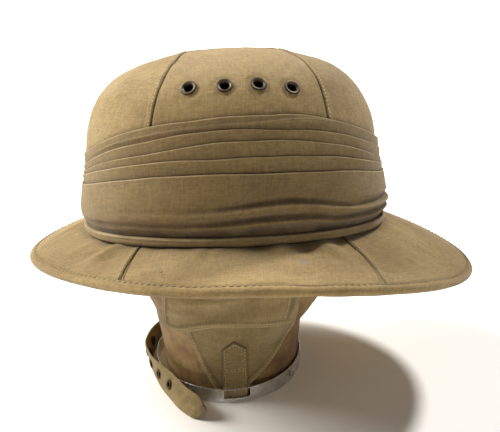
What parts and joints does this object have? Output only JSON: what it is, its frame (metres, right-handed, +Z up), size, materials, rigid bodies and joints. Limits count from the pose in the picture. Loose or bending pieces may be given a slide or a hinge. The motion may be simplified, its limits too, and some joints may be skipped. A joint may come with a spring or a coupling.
{
  "type": "pith helmet on neck stand",
  "caption": "Cloth-covered sun helmet with a pleated band, standing on a leather neck sleeve with side flaps, a metal foot band and a strap.",
  "frame": {"origin": "on the floor, under the middle of the whole object's box", "axes": "+Z up, -X towards the helmet's front, +X towards its back, -Y towards its left side, which the picture shows"},
  "size_m": [0.3322, 0.2761, 0.2444],
  "materials": {
    "khaki_drill": "tan cotton drill",
    "pagri_cloth": "tan cotton, pleated",
    "pith": "bare moulded pith",
    "eyelet_brass": "darkened, worn at the rim",
    "brown_leather": "worn vegetable-tanned",
    "band_aluminium": "satin",
    "strap_webbing": "woven khaki"
  },
  "bodies": {
    "root": {"pith_body": "pith", "crown_panel_front": "khaki_drill", "crown_panel_back": "khaki_drill", "crown_panel_left": "khaki_drill", "crown_panel_right": "khaki_drill", "brim_cover_front": "khaki_drill", "brim_cover_back": "khaki_drill", "brim_cover_left": "khaki_drill", "brim_cover_right": "khaki_drill", "brim_binding": "khaki_drill", "pagri_pleats": "pagri_cloth", "pagri_wrap": "pagri_cloth", "pagri_roll": "pagri_cloth", "vent_eyelet_1": "eyelet_brass", "vent_eyelet_2": "eyelet_brass", "vent_eyelet_3": "eyelet_brass", "vent_eyelet_4": "eyelet_brass", "vent_eyelet_5": "eyelet_brass", "vent_eyelet_6": "eyelet_brass", "vent_eyelet_7": "eyelet_brass", "vent_eyelet_8": "eyelet_brass", "neck_sleeve": "brown_leather", "side_flap_upper_left": "khaki_drill", "side_flap_upper_right": "khaki_drill", "side_flap_lower_left": "khaki_drill", "side_flap_lower_right": "khaki_drill", "flap_tab_left": "khaki_drill", "flap_tab_right": "khaki_drill", "neck_band": "band_aluminium", "band_rivet_1": "band_aluminium", "band_rivet_2": "band_aluminium", "band_rivet_3": "band_aluminium", "band_rivet_4": "band_aluminium", "neck_strap": "strap_webbing", "strap_eyelet_1": "eyelet_brass", "strap_eyelet_2": "eyelet_brass", "strap_eyelet_3": "eyelet_brass", "strap_eyelet_4": "eyelet_brass", "strap_eyelet_5": "eyelet_brass"}
  },
  "joints": []
}
